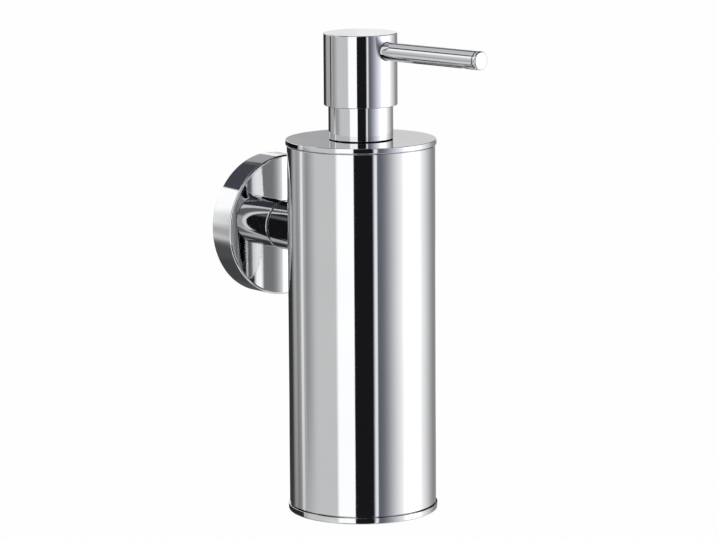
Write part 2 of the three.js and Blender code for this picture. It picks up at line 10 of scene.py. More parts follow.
import bpy
import numpy as np
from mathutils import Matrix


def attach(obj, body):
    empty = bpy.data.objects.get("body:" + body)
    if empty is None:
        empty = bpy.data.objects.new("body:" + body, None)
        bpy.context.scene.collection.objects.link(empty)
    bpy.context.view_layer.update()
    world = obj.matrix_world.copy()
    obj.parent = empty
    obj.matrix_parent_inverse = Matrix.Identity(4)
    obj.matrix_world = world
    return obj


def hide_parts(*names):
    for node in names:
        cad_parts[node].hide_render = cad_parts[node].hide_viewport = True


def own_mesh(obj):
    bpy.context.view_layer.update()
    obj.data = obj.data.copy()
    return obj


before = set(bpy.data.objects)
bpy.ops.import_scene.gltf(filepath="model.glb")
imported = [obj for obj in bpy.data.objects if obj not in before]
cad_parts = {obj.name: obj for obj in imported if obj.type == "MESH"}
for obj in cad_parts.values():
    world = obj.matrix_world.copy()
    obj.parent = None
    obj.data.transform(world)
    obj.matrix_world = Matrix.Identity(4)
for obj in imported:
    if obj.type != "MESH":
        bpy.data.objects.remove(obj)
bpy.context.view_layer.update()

# %% [markdown]
# ## The camera
#
# The photograph looks at the dispenser from its front left, 40 degrees round and 10
# degrees above, through a long lens that hardly narrows with distance. A camera could be
# tracked to an empty, but its own matrix is exact: its columns are the directions to the
# right, up and back, and a third of a degree of roll turns the first two.

# %% The camera
MM = 0.001
AXIS_Y = -50.7      # the tube's axis, out from the wall
BASE_Z = -93.0      # the underside of the base, down from the arm's axis
AZIMUTH, ELEVATION, ROLL = (math.radians(turn) for turn in (-40.09, 10.02, -0.358))
DISTANCE = 1184.6   # camera to the point it is aimed at
AIM_HEIGHT = 82.37  # that point, up from the base
AIM_SIDE = -1.26    # and to the right of the axis
LENS = 175.9        # millimetres
SENSOR = 36.0       # the width of the sensor, in millimetres


def camera_matrix():
    """Columns: right, up, back and place. Back points from the aim to the camera;
    right is level; up is their cross product; the roll turns right and up."""
    level = np.array([math.cos(AZIMUTH), math.sin(AZIMUTH), 0.0])
    back = np.array([math.sin(AZIMUTH) * math.cos(ELEVATION),
                     -math.cos(AZIMUTH) * math.cos(ELEVATION), math.sin(ELEVATION)])
    upward = np.cross(back, level)
    right = math.cos(ROLL) * level + math.sin(ROLL) * upward
    up = math.cos(ROLL) * upward - math.sin(ROLL) * level
    aim = np.array([0.0, AXIS_Y, BASE_Z + AIM_HEIGHT]) + AIM_SIDE * level
    made = np.eye(4)
    made[:3, :3] = np.column_stack([right, up, back])
    made[:3, 3] = (aim + DISTANCE * back) * MM
    return made


camera = bpy.data.objects.new("camera", bpy.data.cameras.new("camera"))
bpy.context.scene.collection.objects.link(camera)
camera.data.lens, camera.data.sensor_width = LENS, SENSOR
camera.matrix_world = camera_matrix().T.tolist()
bpy.context.scene.camera = camera
bpy.context.scene.view_settings.view_transform = "Standard"
print("camera at", [round(value, 3) for value in camera.matrix_world.translation])

# %% [markdown]
# ## Two helpers for materials
#
# Colours are written as the hex values that a colour picker shows, and Blender's sockets
# want linear light, so one function converts them. The other adds one node and fills its
# inputs, with a number or with another node's output. Every material and the studio use it.

# %% Colours and nodes


def linear(code, gain=1.0):
    """sRGB hex to linear RGBA: a straight toe below 0.04045, a power of 2.4 above."""
    share = np.array([int(code[at:at + 2], 16) for at in (0, 2, 4)]) / 255
    light = np.where(share <= 0.04045, share / 12.92, ((share + 0.055) / 1.055) ** 2.4)
    return (*(light * gain), 1.0)


def add(tree, kind, inputs=None, **settings):
    """Adds a node; an input is linked where its value is a socket, and set otherwise."""
    made = tree.nodes.new("ShaderNode" + kind)
    for name, value in settings.items():
        setattr(made, name, value)
    for name, value in (inputs or {}).items():
        if isinstance(value, bpy.types.NodeSocket):
            tree.links.new(value, made.inputs[name])
        else:
            made.inputs[name].default_value = value
    return made


print("linear middle grey:", [round(value, 3) for value in linear("808080")])

# %% [markdown]
# ## The studio
#
# Chrome is photographed by placing cards round it: white softboxes for the broad lights,
# a black flag for the dark stripe that makes it read as metal, and narrow gaps between.
# Real cards could stand in the scene, but they would get in the way of other cameras. So
# the cards are drawn in the world instead, by direction: each is a patch between two
# azimuths and two elevations, with soft edges. Azimuth 0 lies behind the main camera and
# grows to its right; elevation is up from the horizon. Each card is painted over the
# ones before it.
#
# The camera itself sees a plain white background, at strength 1.

# %% The cards of the studio
LEVEL = 1.35  # the cards' strength, because chrome gives back about 75 percent
LOW, HIGH = -91.0, 91.0  # just past straight down and straight up
CARDS = [
    # azimuth rises and falls between, elevation rises and falls between, colour, strength
    ("dark ceiling", (-181, -180, 180, 181), (44, 52, HIGH, HIGH + 1), "141416", 1.0),
    ("dark above the right wall", (50, 66, 181, 182), (14, 24, HIGH, HIGH + 1), "1C1C1E", 1.0),
    ("pale floor", (-181, -180, 180, 181), (LOW, LOW + 1, -26, -14), "CECECE", 1.0),
    ("grey floor at the back left", (-180, -168, -112, -84), (LOW, LOW + 1, -36, -30), "828283", 1.0),
    ("left wall", (-104, -99, -41.5, -34.5), (-30, -16, 10, 28), "BDBDBD", 1.0),
    ("left wall, near end", (-102, -97, -96, -72), (-16, -11.5, -3.5, -1.5), "8E8E8F", 1.0),
    ("dim ceiling at the left", (-84, -74, -50, -38), (8, 15, 42, 50), "767679", 1.0),
    ("floor at the left", (-88, -80, -46, -36), (-36, -33, -24, -20), "7A7A7B", 1.0),
    ("ridge of light on it", (-66, -50, -46, -38), (-36, -33, -24, -18), "E8E8E8", 1.0),
    ("back left grey", (-181, -180, -110, -100), (-26, -16, 8.6, 9.5), "A0A0A0", 1.0),
    ("back left shade", (-127, -121, -119, -112), (-26, -16, -10, -6), "868686", 1.0),
    ("back left gap", (-181, -174, -144, -129), (-30, -22, 8.6, 9.5), "2A2A2C", 1.0),
    ("grey behind, left", (-182, -181, -177, -172), (-40, -30, 0, 4), "7A7A7B", 1.0),
    ("grey behind, right", (171, 177, 181, 182), (-40, -30, 0, 4), "7A7A7B", 1.0),
    ("light behind the rose, left", (-182, -181, -174, -170), (-13, -12, -9.8, -9.4), "FFFFFF", 1.3),
    ("light behind the rose, right", (162, 168, 181, 182), (-13, -12, -9.8, -9.4), "FFFFFF", 1.3),
    ("dark floor at the back left", (-180, -175, -110, -92), (-42.5, -39.3, -23, -8), "4A4A4B", 1.0),
    ("dark floor below", (-180, -175, -126, -106), (-42.5, -39.3, -36, -32), "404042", 1.0),
    ("grey beside the strip", (-108.5, -105.5, -100, -98), (-20, -12, -9, 0), "A2A2A3", 1.0),
    ("bright strip", (-112, -109, -105.5, -102), (-22, -8, -7.9, -7.5), "DEDEDE", 1.0),
    ("dark line on the head", (-111, -109, -105, -102.8), (-7.6, -7.3, -5.9, -5.2), "1C1C1E", 1.0),
    ("low flag at the back left", (-173, -171, -107, -105.5), (-21, -19, -14.8, -14.3), "27272A", 1.0),
    ("high flag at the back left", (-150, -147, -113, -110), (-5.9, -5.5, -2.4, -1.8), "0C0C0E", 1.0),
    ("key softbox", (-42, -35, -12.4, -11.4), (-80, -70, 68, 71), "FCFCFC", 1.0),
    ("flag under the softbox", (-46, -33, -12.4, -11.4), (-60, -50, -27, -23), "0E0E10", 1.0),
    ("black flag", (-12.4, -11.2, 25, 29), (-75, -65, 66, 70), "17171A", 1.0),
    ("grey above the flag", (-14, -11, 3, 14), (17, 26, 45, 60), "868688", 1.0),
    ("slit", (16.5, 21.5, 23, 25.8), (-75, -65, 55, 65), "DFE1E6", 1.0),
    ("lilac wall at the right", (24, 27, 58, 88), (-8.2, -7.6, 55, 65), "F0F1FF", 1.08),
    ("side gap", (24.2, 26.5, 27, 77), (-75, -65, 55, 65), "5C5E67", 1.0),
    ("right softbox", (64, 78, 94, 110), (-30, -16, 14, 24), "FFFFFF", 1.35),
    ("right wall, falling off", (92, 150, 168, 176), (-30, -16, 8.6, 9.5), "828283", 1.0),
    ("back wall", (-181, -180, -143, -139), (2, 6, 40, 50), "E8E8E8", 1.0),
    ("horizon, left", (-181, -180, -160, -140), (-2, 3, 6.5, 7.0), "D4D4D5", 1.0),
    ("horizon, right", (150, 168, 181, 182), (0, 5, 6.5, 7.0), "DADADA", 1.0),
    ("horizon line, left", (-181, -180, -160, -140), (6.7, 7.3, 8.6, 9.2), "98989A", 1.0),
    ("horizon line, right", (165, 174, 181, 182), (6.7, 7.3, 8.6, 9.2), "BFBEBF", 1.0),
    ("black flag behind", (124, 138, 181, 182), (9.6, 12, 38, 45), "111112", 1.0),
    ("black flag behind, left part", (-181, -180, -160, -156), (17, 20, 38, 45), "111112", 1.0),
    ("grey screen", (-177, -174, -159, -157), (14, 19, 32.5, 35), "98989B", 1.0),
    ("dark screen", (-161.5, -156.5, -101, -93), (30.9, 32.4, 40.5, 44), "3F4048", 1.0),
    ("grey above it", (-172, -162, -112, -100), (42, 44.5, 50, 56), "BABABB", 1.0),
]
WALLS = "FAFAFA"  # whatever no card covers


def times(tree, one, other):
    """The product of two shares."""
    return add(tree, "Math", {0: one, 1: other}, operation="MULTIPLY").outputs[0]


def between(tree, value, bounds):
    """A share that rises from 0 to 1 between the first two bounds and falls back between
    the last two, both as smooth steps."""
    up = add(tree, "MapRange", {0: value, 1: bounds[0], 2: bounds[1], 3: 0.0, 4: 1.0},
             interpolation_type="SMOOTHSTEP")
    down = add(tree, "MapRange", {0: value, 1: bounds[2], 2: bounds[3], 3: 1.0, 4: 0.0},
               interpolation_type="SMOOTHSTEP")
    return times(tree, up.outputs[0], down.outputs[0])


def studio_cards(tree):
    """Light as a function of direction. Azimuth is the angle of x and y, turned so that
    the camera is at 0 and wrapped at 180; elevation is the arc sine of z."""
    ray = add(tree, "SeparateXYZ", {0: add(tree, "TexCoord").outputs["Generated"]})
    turn = add(tree, "Math", {0: ray.outputs["Y"], 1: ray.outputs["X"]}, operation="ARCTAN2")
    turn = add(tree, "Math", {0: turn.outputs[0]}, operation="DEGREES")
    turn = add(tree, "Math", {0: turn.outputs[0], 1: 90 - math.degrees(AZIMUTH)})
    azimuth = add(tree, "Math", {0: turn.outputs[0], 1: 180.0, 2: -180.0}, operation="WRAP")
    climb = add(tree, "Math", {0: ray.outputs["Z"]}, operation="ARCSINE")
    elevation = add(tree, "Math", {0: climb.outputs[0]}, operation="DEGREES")
    light = linear(WALLS, LEVEL)
    for _, sideways, upward, code, strength in CARDS:
        share = times(tree, between(tree, azimuth.outputs[0], sideways),
                      between(tree, elevation.outputs[0], upward))
        layer = {0: share, 6: light, 7: linear(code, LEVEL * strength)}
        light = add(tree, "Mix", layer, data_type="RGBA").outputs[2]
    return light


world = bpy.data.worlds.new("studio")
world.use_nodes = True
tree = world.node_tree
tree.nodes.clear()
to_camera = add(tree, "LightPath").outputs["Is Camera Ray"]
seen = add(tree, "Mix", {0: to_camera, 6: studio_cards(tree), 7: (1.0, 1.0, 1.0, 1.0)},
           data_type="RGBA")
sky = add(tree, "Background", {"Color": seen.outputs[2], "Strength": 1.0})
add(tree, "OutputWorld", {"Surface": sky.outputs[0]})
bpy.context.scene.world = world
print("cards in the studio:", len(CARDS))

# %% [markdown]
# ## Shells as arrays
#
# Almost every piece of this dispenser was turned on a lathe, so its surface is a profile
# carried round an axis. Blender's Screw modifier could do that, but with numpy the shape
# is one formula: a grid of points whose rows are the profile and whose columns are the
# angles. Corners are rounded first, because a broken edge is where chrome catches the
# light, and a knife edge on a part looks false.
#
# Where the rounding ends, a flat face and a narrow one share their vertices. The Weighted
# Normal modifier gives such a vertex the direction of the larger face, so mirrors stay flat.

# %% Rounded profiles and turned surfaces
SIDES = 192
DRILL_SIDES = 60
ARC_STEPS = 5
SHARP = math.radians(32)
SPOUT_HEIGHT = 157.6  # the spout's axis, up from the base
HEAD_TURN = math.radians(6)  # how far the head stands turned to the right
AHEAD = np.array([math.sin(HEAD_TURN), -math.cos(HEAD_TURN), 0])  # the way the spout points
GRUB_DEPTH = 3.0      # the grub screw's axis, out from the wall
PLACES = {
    # how a piece's radius, angle and height become x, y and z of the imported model
    "upright": ((1, 0, 0), (0, 1, 0), (0, 0, 1), (0, AXIS_Y, BASE_Z)),
    "out from the wall": ((1, 0, 0), (0, 0, 1), (0, -1, 0), (0, 0, 0)),
    "out along the spout": ((-AHEAD[1], AHEAD[0], 0), (0, 0, 1), AHEAD,
                            (0, AXIS_Y, BASE_Z + SPOUT_HEIGHT)),
    "down from the rose": ((1, 0, 0), (0, 1, 0), (0, 0, -1), (0, -GRUB_DEPTH, 0)),
}


def rounded(corners, steps=ARC_STEPS):
    """A profile of [radius, height, rounding] rows, each corner an arc that touches both
    sides. The arc's centre lies on the corner's bisector; its points are a spherical
    blend of the directions from the centre to the two points of touch."""
    corners = np.array([(*row, 0.0)[:3] for row in corners], float)
    spot, size = corners[:, :2], corners[:, 2]
    before, after = np.roll(spot, 1, axis=0) - spot, np.roll(spot, -1, axis=0) - spot
    before /= np.linalg.norm(before, axis=1)[:, None]
    after /= np.linalg.norm(after, axis=1)[:, None]
    half = np.arccos(np.clip((before * after).sum(axis=1), -1, 1)) / 2
    reach = (size / np.tan(half))[:, None]
    bisector = before + after
    bisector /= np.maximum(np.linalg.norm(bisector, axis=1), 1e-9)[:, None]
    centre = spot + bisector * (size / np.sin(half))[:, None]
    first, last = spot + before * reach - centre, spot + after * reach - centre
    sweep = np.maximum(math.pi - 2 * half, 1e-6)[:, None, None]
    share = np.linspace(0, 1, steps + 1)[None, :, None]
    arcs = (np.sin((1 - share) * sweep) * first[:, None]
            + np.sin(share * sweep) * last[:, None]) / np.sin(sweep)
    points = (centre[:, None] + arcs).reshape(-1, 2)
    apart = np.linalg.norm(points - np.roll(points, 1, axis=0), axis=1) > 1e-6
    return points[apart]


def turns(sides):
    """The angle of every column of a grid, in a row."""
    return (np.arange(sides) * 2 * math.pi / sides)[None, :]


def skin(name, grid, place):
    """Joins a grid of points into a mesh: each row is a ring, and each ring is joined to
    the next. A row whose points all meet becomes one vertex, a pole; a grid without poles
    closes on itself. The sign of the volume turns the faces outwards."""
    sides = grid.shape[1]
    pole = np.ptp(grid, axis=1).max(axis=1) < 1e-9
    number = np.arange(len(grid) * sides).reshape(-1, sides)
    number[pole] = number[pole][:, :1]
    start = np.arange(len(number) - pole.any())
    low, high = number[start], number[(start + 1) % len(number)]
    faces = np.stack([low, np.roll(low, -1, 1), np.roll(high, -1, 1), high], -1).reshape(-1, 4)
    used, faces = np.unique(faces, return_inverse=True)
    *directions, origin = (np.array(part, float) for part in PLACES[place])
    points = (grid.reshape(-1, 3)[used] @ np.stack(directions) + origin) * MM
    faces = faces.reshape(-1, 4)
    corner = points[faces]
    swirl = np.cross(corner[:, 2] - corner[:, 0], corner[:, 3] - corner[:, 1])
    low_fan, high_fan = faces[:, 0] == faces[:, 1], faces[:, 2] == faces[:, 3]
    parts = [faces[~(low_fan | high_fan)], faces[low_fan][:, 1:], faces[high_fan][:, :3]]
    turn = 1 if (corner.mean(axis=1) * swirl).sum() > 0 else -1
    mesh = bpy.data.meshes.new(name)
    outward = [face for part in parts for face in part[:, ::turn].tolist()]
    mesh.from_pydata(points.tolist(), [], outward)
    piece = bpy.data.objects.new(name, mesh)
    bpy.context.scene.collection.objects.link(piece)
    return piece


def shell(name, radius, height, place, bend=None):
    """Carries a profile round: x is radius times cosine, y radius times sine, z height.
    radius and height are columns, or grids with a column for every angle. bend changes
    the finished points."""
    sides = radius.shape[1] if radius.ndim > 1 else SIDES
    radius, height = (part if part.ndim > 1 else part[:, None] for part in (radius, height))
    grid = np.stack(np.broadcast_arrays(radius * np.cos(turns(sides)),
                                        radius * np.sin(turns(sides)), height), axis=-1)
    return skin(name, grid if bend is None else bend(grid), place)


def turned(name, corners, place="upright", bend=None):
    """A shell from a rounded profile, which starts and ends on the axis if it meets it."""
    outline = rounded(corners)
    poles = np.flatnonzero(outline[:, 0] < 1e-9)
    if len(poles):
        outline = np.roll(outline, -poles[0], axis=0)
        outline = np.roll(outline, -int(outline[1, 0] < 1e-9), axis=0)
    return shell(name, outline[:, 0], outline[:, 1], place, bend)


def straight_drill(radius, low, high, place="upright", bend=None):
    """A round cutter from one height to another."""
    return turned("drill", [(0, low), (radius, low), (radius, high), (0, high)], place, bend)


def drilled(piece, *cutters):
    """Takes the cutters out of a piece for good: a Boolean modifier for each, whose result
    becomes the piece's mesh."""
    for cutter in cutters:
        hole = piece.modifiers.new("hole", "BOOLEAN")
        hole.operation, hole.solver, hole.object = "DIFFERENCE", "EXACT", cutter
    view = bpy.context.evaluated_depsgraph_get()
    made = bpy.data.meshes.new_from_object(piece.evaluated_get(view))
    piece.modifiers.clear()
    piece.data = made
    for cutter in cutters:
        bpy.data.objects.remove(cutter)
    return piece


def paint_joint_shade_within(piece, radius, material):
    """Gives the faces nearer to the upright axis than a radius a second finish: dull, with painted
    shade.
    """
    centres = np.empty(len(piece.data.polygons) * 3)
    piece.data.polygons.foreach_get("center", centres)
    east, north = centres[0::3] / MM, centres[1::3] / MM - AXIS_Y
    piece.data.materials.append(material)
    inner = (np.hypot(east, north) < radius).astype(np.int32)
    piece.data.polygons.foreach_set("material_index", inner)
    print(f"{piece.name}: {inner.sum()} faces with painted joint shade")


def dress(piece, material, body, node):
    """Smooth shading that breaks at real edges, then the finish, the body that the piece
    rides on, and the node that it stands for."""
    piece.data.shade_smooth()
    piece.data.set_sharp_from_angle(angle=SHARP)
    flat = piece.modifiers.new("flat faces stay flat", "WEIGHTED_NORMAL")
    flat.keep_sharp = True
    piece.data.materials.clear()
    piece.data.materials.append(material)
    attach(piece, body)
    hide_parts(node)
    print(f"{piece.name}: {len(piece.data.polygons)} faces, for {node} on {body}")


# %% [markdown]
# ## Polished chrome plate
#
# The rose, arm, tube, base, lid, collar, head and spout are brass with a bright chrome
# plate. A mirror's colour is its reflectance: nearly white with a breath of blue. What
# tells the eye that it is plate and not glass is small: the buffed brass under it waves a
# little over a centimetre or so, and the film that hands leave on it blurs the
# reflection here and there. Both come from noise at that size.
#
# Where no buffing wheel reaches, the plate stays dull. A second finish is dull and also
# dark, and its dark colour is painted shade. It goes into the joint under the collar,
# where the shadow of the gap is a fine black line.

# %% Materials: chrome


def begin(name):
    """A new material with its tree, its surface shader and the piece's own coordinates."""
    material = bpy.data.materials.new(name)
    material.use_nodes = True
    tree = material.node_tree
    return material, tree, tree.nodes["Principled BSDF"], add(tree, "TexCoord").outputs["Object"]


def noise(tree, place, size, detail=2.0, **inputs):
    """Noise whose patches are about size millimetres across."""
    values = {"Vector": place, "Scale": 1 / (size * MM), "Detail": detail, **inputs}
    return add(tree, "TexNoise", values).outputs[0]


def spread(tree, share, low, high):
    """A share of 0.3 to 0.7, which is what noise mostly gives, spread from low to high."""
    return add(tree, "MapRange", {0: share, 1: 0.3, 2: 0.7, 3: low, 4: high}).outputs[0]


def tones(tree, share, first, second):
    """A colour between two hex values."""
    ends = {0: share, 6: linear(first), 7: linear(second)}
    return add(tree, "Mix", ends, data_type="RGBA").outputs[2]


def relief(tree, share, depth, normal=None):
    """Bump whose height is a share of depth millimetres."""
    inputs = {"Height": share, "Distance": depth * MM, "Strength": 1.0}
    if normal is not None:
        inputs["Normal"] = normal
    return add(tree, "Bump", inputs).outputs[0]


def wire(tree, surface, **links):
    """Links outputs to the surface's sockets, which are named with underscores here."""
    for name, output in links.items():
        tree.links.new(output, surface.inputs[name.replace("_", " ")])


def chrome_plate():
    material, tree, surface, place = begin("polished_chrome_plate_on_brass")
    surface.inputs["Metallic"].default_value = 1.0
    wire(tree, surface,
         Base_Color=tones(tree, spread(tree, noise(tree, place, 45), 0, 1), "E1E2E3", "DDDEDF"),
         Roughness=spread(tree, noise(tree, place, 16, 5.0), 0.028, 0.06),
         Normal=relief(tree, noise(tree, place, 13, 1.0), 0.008))
    return material


def chrome_with_painted_shade():
    """The same plate, dull where no buffing wheel reaches, and dark: painted shade for the joint."""
    material, tree, surface, place = begin("dull_chrome_with_painted_joint_shade")
    surface.inputs["Metallic"].default_value = 1.0
    # The two dark colours are painted shade: the shadow in the gap under the collar.
    shade_patches = noise(tree, place, 1.5, 4.0)
    wire(tree, surface,
         Base_Color=tones(tree, spread(tree, shade_patches, 0, 1), "26262A", "3C3C3F"),
         Roughness=spread(tree, shade_patches, 0.45, 0.65),
         Normal=relief(tree, noise(tree, place, 0.4, 3.0), 0.01))
    return material


chrome, painted_shade_chrome = chrome_plate(), chrome_with_painted_shade()
print("made", chrome.name, painted_shade_chrome.name)

# %% [markdown]
# ## Metals inside and behind
#
# The wall plate, screws and washers are steel with a thin zinc plate, which is dull,
# bluish and faintly cloudy where the bath left it thicker. The grub screw, spring and
# ball are bright drawn stainless steel. The nut is brass straight from the machine.

# %% Materials: steel and brass


def zinc_plate():
    material, tree, surface, place = begin("zinc_plated_pressed_steel")
    surface.inputs["Metallic"].default_value = 1.0
    cloud = noise(tree, place, 7, 4.0)
    wire(tree, surface,
         Base_Color=tones(tree, spread(tree, cloud, 0, 1), "B4B9BE", "C9C8C2"),
         Roughness=spread(tree, noise(tree, place, 2.5, 6.0), 0.3, 0.46),
         Normal=relief(tree, noise(tree, place, 0.7, 3.0), 0.012))
    return material


def drawn_steel():
    material, tree, surface, place = begin("bright_drawn_stainless_steel")
    surface.inputs["Metallic"].default_value = 1.0
    lines = add(tree, "Mapping", {"Vector": place, "Scale": (1.0, 1.0, 0.08)}).outputs[0]
    draw = noise(tree, lines, 0.25, 2.0)
    wire(tree, surface,
         Base_Color=tones(tree, spread(tree, noise(tree, place, 5), 0, 1), "BFC2C5", "CCCFD1"),
         Roughness=spread(tree, draw, 0.2, 0.34),
         Normal=relief(tree, draw, 0.003))
    return material


def machined_brass():
    material, tree, surface, place = begin("machined_brass")
    surface.inputs["Metallic"].default_value = 1.0
    lines = add(tree, "Mapping", {"Vector": place, "Scale": (0.1, 0.1, 1.0)}).outputs[0]
    cut = noise(tree, lines, 0.18, 2.0)
    wire(tree, surface,
         Base_Color=tones(tree, spread(tree, noise(tree, place, 6, 3.0), 0, 1), "D9B876", "C9A35C"),
         Roughness=spread(tree, cut, 0.2, 0.36),
         Normal=relief(tree, cut, 0.006))
    return material


zinc, steel, brass = zinc_plate(), drawn_steel(), machined_brass()
print("made", zinc.name, steel.name, brass.name)

# %% [markdown]
# ## Plastics and rubber
#
# The pump is moulded white polypropylene and the liner and dip tube are natural
# polyethylene, milky because its crystals scatter light. Scattering a little below the
# surface gives both their soft look. The seal, gasket and nut washer are black nitrile
# rubber, whose talc leaves a grey bloom.

# %% Materials: plastics and rubber


def moulded(name, first, second, roughness, scatter, depth):
    """Plastic from a spark-eroded mould: fine grain, soft shine, light scattered inside."""
    material, tree, surface, place = begin(name)
    surface.inputs["IOR"].default_value = 1.5
    surface.inputs["Subsurface Weight"].default_value = scatter
    surface.inputs["Subsurface Radius"].default_value = (1.0, 0.95, 0.9)
    surface.inputs["Subsurface Scale"].default_value = depth * MM
    wire(tree, surface,
         Base_Color=tones(tree, spread(tree, noise(tree, place, 12, 3.0), 0, 1), first, second),
         Roughness=spread(tree, noise(tree, place, 3, 4.0), roughness - 0.06, roughness + 0.06),
         Normal=relief(tree, noise(tree, place, 0.5, 2.0), 0.006))
    return material


def nitrile_rubber():
    material, tree, surface, place = begin("moulded_nitrile_rubber")
    surface.inputs["IOR"].default_value = 1.52
    bloom = spread(tree, noise(tree, place, 2.0, 5.0), 0, 1)
    wire(tree, surface,
         Base_Color=tones(tree, bloom, "1B1B1D", "2A2A2C"),
         Roughness=spread(tree, noise(tree, place, 0.8, 4.0), 0.55, 0.75),
         Normal=relief(tree, noise(tree, place, 0.35, 3.0), 0.015))
    return material


white_plastic = moulded("moulded_white_polypropylene", "EFEDE7", "E8E6DF", 0.38, 0.15, 1.0)
milky_plastic = moulded("moulded_natural_polyethylene", "DFE4E1", "D3DAD6", 0.42, 0.55, 2.5)
rubber = nitrile_rubber()
print("made", white_plastic.name, milky_plastic.name, rubber.name)

# %% [markdown]
# ## The rose and its arm
#
# The rose is a shallow cup with a turned front edge. On the photograph a thin white line
# runs round it: an edge radius under a millimetre that mirrors the whole studio in one
# stroke. A screw hole is drilled from below. The arm is a bar whose far end is hollowed
# to sit on the round tube: every point of that end is pulled back to the tube's surface,
# whose distance follows from the circle's equation.

# %% Rose, wall plate, grub screw and arm
ROSE_RADIUS, ROSE_DEPTH = 24.4, 10.0
CAVITY_RADIUS, CAVITY_DEPTH = 22.0, 7.8
PLATE_RADIUS, PLATE_THICKNESS = 21.6, 5.0
ARM_RADIUS = 8.5
TUBE_RADIUS, TUBE_BORE = 25.0, 24.0
SEAT = 0.3  # the gap between pieces that seat on each other
SCREW_HOLE, GRUB_HOLE, TAPPED = 2.8, 2.2, 2.7  # radii
WALL_HOLE, COUNTERSINK = 2.4, 4.2  # radii
WALL_HOLE_SIDE = 13.0  # from the middle of the plate to each hole

rose = turned("rose_cup", [
    (CAVITY_RADIUS, 0, 0.15), (ROSE_RADIUS, 0, 0.3), (ROSE_RADIUS, ROSE_DEPTH, 0.8),
    (SCREW_HOLE, ROSE_DEPTH), (SCREW_HOLE, CAVITY_DEPTH), (CAVITY_RADIUS, CAVITY_DEPTH, 0.3),
], "out from the wall")
rose = drilled(rose, straight_drill(GRUB_HOLE, 20, 26, "down from the rose"))
dress(rose, chrome, "holder", "rose_cover")

plate = turned("wall_disc", [
    (0, 0), (PLATE_RADIUS, 0, 0.2), (PLATE_RADIUS, 1.4, 0.1), (PLATE_RADIUS - 1.6, 3.0, 0.1),
    (PLATE_RADIUS, 4.6, 0.1), (PLATE_RADIUS, PLATE_THICKNESS, 0.1), (6.5, PLATE_THICKNESS),
    (6.5, 2.6, 0.2), (0, 2.6),
], "out from the wall")


def wall_hole(side):
    """A clearance hole with its countersink, to one side of the plate's middle."""
    def shift(grid):
        return grid + np.array([WALL_HOLE_SIDE * side, 0, 0])
    return turned("drill", [
        (0, -1), (WALL_HOLE, -1), (WALL_HOLE, 3.2), (COUNTERSINK, PLATE_THICKNESS),
        (COUNTERSINK, 6), (0, 6),
    ], "out from the wall", shift)


dress(drilled(plate, wall_hole(-1), wall_hole(1)), zinc, "holder", "wall_plate")


def from_flat(sides):
    """The angle of every column from the nearest of six flats."""
    return (turns(sides) + math.pi / 6) % (math.pi / 3) - math.pi / 6


def hexagon(name, corner, low, high, place):
    """A six-sided drill: the distance to its flats over the cosine of the angle from the
    nearest of them."""
    flat = corner * math.cos(math.pi / 6)
    radius = np.array([0, 1, 1, 0])[:, None] * flat / np.cos(from_flat(DRILL_SIDES))
    return shell(name, radius, np.array([low, low, high, high], float), place)


grub = turned("locking_screw", [
    (0, 20.82), (0.4, 20.82), (2.0, 22.42, 0.1), (2.0, 24.2, 0.15), (0, 24.2),
], "down from the rose")
grub = drilled(grub, hexagon("drill", 1.2, 23.2, 25.0, "down from the rose"))
dress(grub, steel, "holder", "rose_grub_screw")


def onto_tube(grid):
    """Points past the tube's surface come back to it: the surface lies one tube radius
    from the axis, less what the circle's equation gives at that sideways distance."""
    surface = -AXIS_Y - np.sqrt((TUBE_RADIUS + SEAT) ** 2 - grid[..., 0] ** 2)
    out = np.minimum(grid[..., 2], surface)
    return np.stack([grid[..., 0], grid[..., 1], out], axis=-1)


FACE_ROWS = [(radius, -AXIS_Y) for radius in np.linspace(ARM_RADIUS, TAPPED, 8)[1:-1]]
arm = turned("arm_bar", [
    (0, 17.7), (TAPPED, 17.7), (TAPPED, 10.3), (ARM_RADIUS, 10.3, 0.45), (ARM_RADIUS, -AXIS_Y),
    *FACE_ROWS, (TAPPED, -AXIS_Y), (TAPPED, 20.3), (0, 20.3),
], "out from the wall", onto_tube)
dress(arm, chrome, "holder", "arm")

# %% [markdown]
# ## The body
#
# A thin tube stands between a base disc and the lid. Its ends have a tiny rounding, and
# the three tenths of a millimetre between the pieces show as the fine dark lines of the
# photograph. The screw that holds the tube to the arm passes through a hole at the back.
# The base's side leans: it is a tenth of a millimetre wider at its top, so that it mirrors
# what lies a little lower.

# %% Tube and base
EDGE = 0.3  # the rounding of an edge that a buffing wheel has passed

tube = turned("body_shell", [
    (TUBE_BORE, 2.5, 0.1), (TUBE_RADIUS, 2.5, 0.15), (TUBE_RADIUS, 125.2, 0.15),
    (TUBE_BORE, 125.2, 0.1),
])


def lay_back(grid):
    """Turns an upright drill to point at the arm: height becomes distance along +Y."""
    return np.stack([grid[..., 0], grid[..., 2], -BASE_Z - grid[..., 1]], axis=-1)


tube = drilled(tube, straight_drill(SCREW_HOLE, 22, 27, bend=lay_back))
dress(tube, chrome, "holder", "body_tube")

base = turned("base_disc", [
    (0, 0), (25.4, 0, 0.5), (25.5, 2.2, 0.12), (23.7, 2.2), (23.7, 4.2, 0.2), (0, 4.2),
])
dress(base, chrome, "holder", "base_cap")

# %% [markdown]
# ## The liner
#
# The soap stands in a moulded beaker that drops into the tube. It is round except for a
# flat at the back, which lets it pass the head of the tube's screw. So it is a turned
# form with one rule added: no point of the body may lie further back than the flat. The
# rim above is round again, and inside it the flat ends in a small shelf.

# %% Liner
LINER_RADIUS, LINER_WALL = 22.8, 1.2
FLAT_OUTSIDE = 19.9
RIM_FOOT, SHELF = 116.5, 117.7


